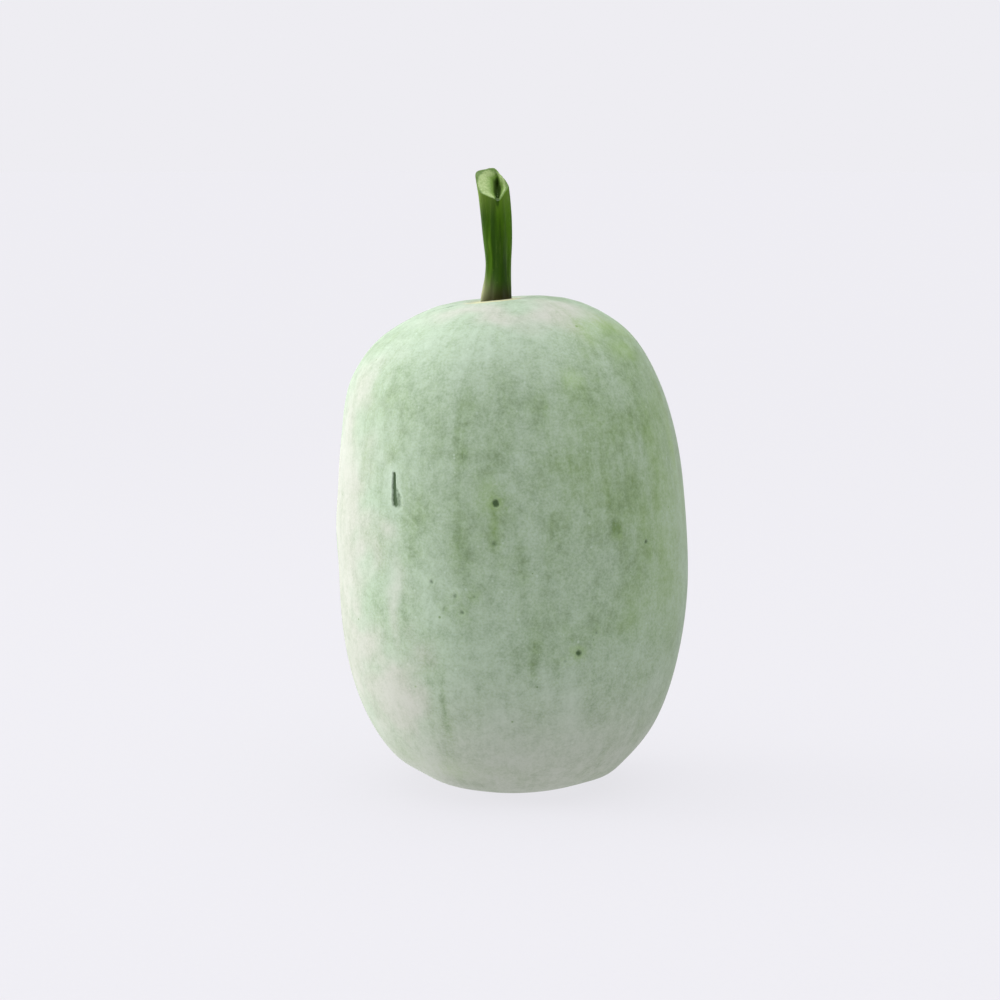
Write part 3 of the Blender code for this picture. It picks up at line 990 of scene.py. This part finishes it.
# ---------------------------------------------------------------------------------------------
# The table: a pale top that glows like a light table and meets the white room with no edge. Soft
# light comes from the left and from above, and a long lens stands at the front.
# ---------------------------------------------------------------------------------------------
ROOM_WHITE = (0.842, 0.834, 0.874, 1)
TABLE_DARKEST = (0.078, 0.077, 0.081, 1)
TABLE_LIGHTEST = (0.082, 0.081, 0.085, 1)
TABLE_GLOW = 0.886
bpy.ops.object.select_all(action="DESELECT")
bpy.ops.mesh.primitive_circle_add(vertices=96, radius=14, fill_type="NGON", location=(0, 0, 0))
table = bpy.context.active_object
table.name = "table_top"
table_white, tree, shader = new_material("table_white")
place = add(tree, "ShaderNodeTexCoord").outputs["Object"]
paper = use_group(tree, plant_grain, {"Position": place, "Size": 0.0030})["Mask"]
table_tone = blend_colours(tree, paper, TABLE_DARKEST, TABLE_LIGHTEST)
tree.links.new(table_tone, shader.inputs["Base Color"])
shader.inputs["Roughness"].default_value = 1.0
shader.inputs["Specular IOR Level"].default_value = 0.0
shader.inputs["Emission Color"].default_value = ROOM_WHITE
shader.inputs["Emission Strength"].default_value = TABLE_GLOW
table.data.materials.append(table_white)

# The room: a white wall that is dimmer higher up, and most of all on the right, under a bright ceiling.
WALL_LIGHT = 1.015
UPPER_WALL_LOSS = 0.75
RIGHT_WALL_LOSS = 0.85
CEILING_LIGHT = 2.70
room = bpy.data.worlds.new("room")
bpy.context.scene.world = room
room.use_nodes = True
tree = room.node_tree
direction = add(tree, "ShaderNodeTexCoord").outputs["Generated"]
split_direction = add(tree, "ShaderNodeSeparateXYZ", {0: direction}).outputs
rise = split_direction["Z"]
upper_wall = between(tree, rise, 0.26, 0.36)
ceiling = between(tree, rise, 0.62, 0.76)
strength = calc(tree, "SUBTRACT", WALL_LIGHT, calc(tree, "MULTIPLY", upper_wall, UPPER_WALL_LOSS))
to_right = between(tree, split_direction["X"], 0.0, 0.5)
right_wall = calc(tree, "MULTIPLY", to_right, between(tree, rise, 0.16, 0.20))
right_share = calc(tree, "SUBTRACT", 1.0, calc(tree, "MULTIPLY", right_wall, RIGHT_WALL_LOSS))
strength = calc(tree, "MULTIPLY", strength, right_share)
strength = calc(tree, "ADD", strength, calc(tree, "MULTIPLY", ceiling, CEILING_LIGHT))
backdrop = tree.nodes["Background"]
backdrop.inputs["Color"].default_value = ROOM_WHITE
tree.links.new(strength, backdrop.inputs["Strength"])

# The softbox stands at the left, wholly above the table, and is hidden from the lens.
SOFTBOX_WIDTH = 1.6
SOFTBOX_HEIGHT = 0.72
SOFTBOX_WATTS = 8.6
SOFTBOX_PLACE = (-2.40, 0.44, 0.52)
key = bpy.data.lights.new("left_softbox", "AREA")
key.shape = "RECTANGLE"
key.size = SOFTBOX_WIDTH
key.size_y = SOFTBOX_HEIGHT
key.energy = SOFTBOX_WATTS
key.spread = math.radians(60)
key_stand = bpy.data.objects.new("left_softbox", key)
bpy.context.scene.collection.objects.link(key_stand)
key_stand.location = SOFTBOX_PLACE
key_stand.rotation_mode = "QUATERNION"
key_stand.rotation_quaternion = (gourd_middle - key_stand.location).to_track_quat("-Z", "Y")
key_stand.visible_camera = False

bpy.context.scene.view_settings.view_transform = "Standard"

# The lens looks slightly down on the gourd.
VIEW_RISE = math.radians(8)
VIEW_DISTANCE = 1.389
aim = Vector((-0.0063, 0.0030, 0.1431))
toward_camera = Vector((0.0, -math.cos(VIEW_RISE), math.sin(VIEW_RISE)))
lens = bpy.data.cameras.new("front_lens")
lens.lens = 100
lens.sensor_width = 36
camera = bpy.data.objects.new("front_lens", lens)
bpy.context.scene.collection.objects.link(camera)
camera.location = aim + toward_camera * VIEW_DISTANCE
camera.rotation_mode = "QUATERNION"
camera.rotation_quaternion = (-toward_camera).to_track_quat("-Z", "Y")
bpy.context.scene.camera = camera

for former in (gourd_former, stem_former):
    bpy.data.objects.remove(former)
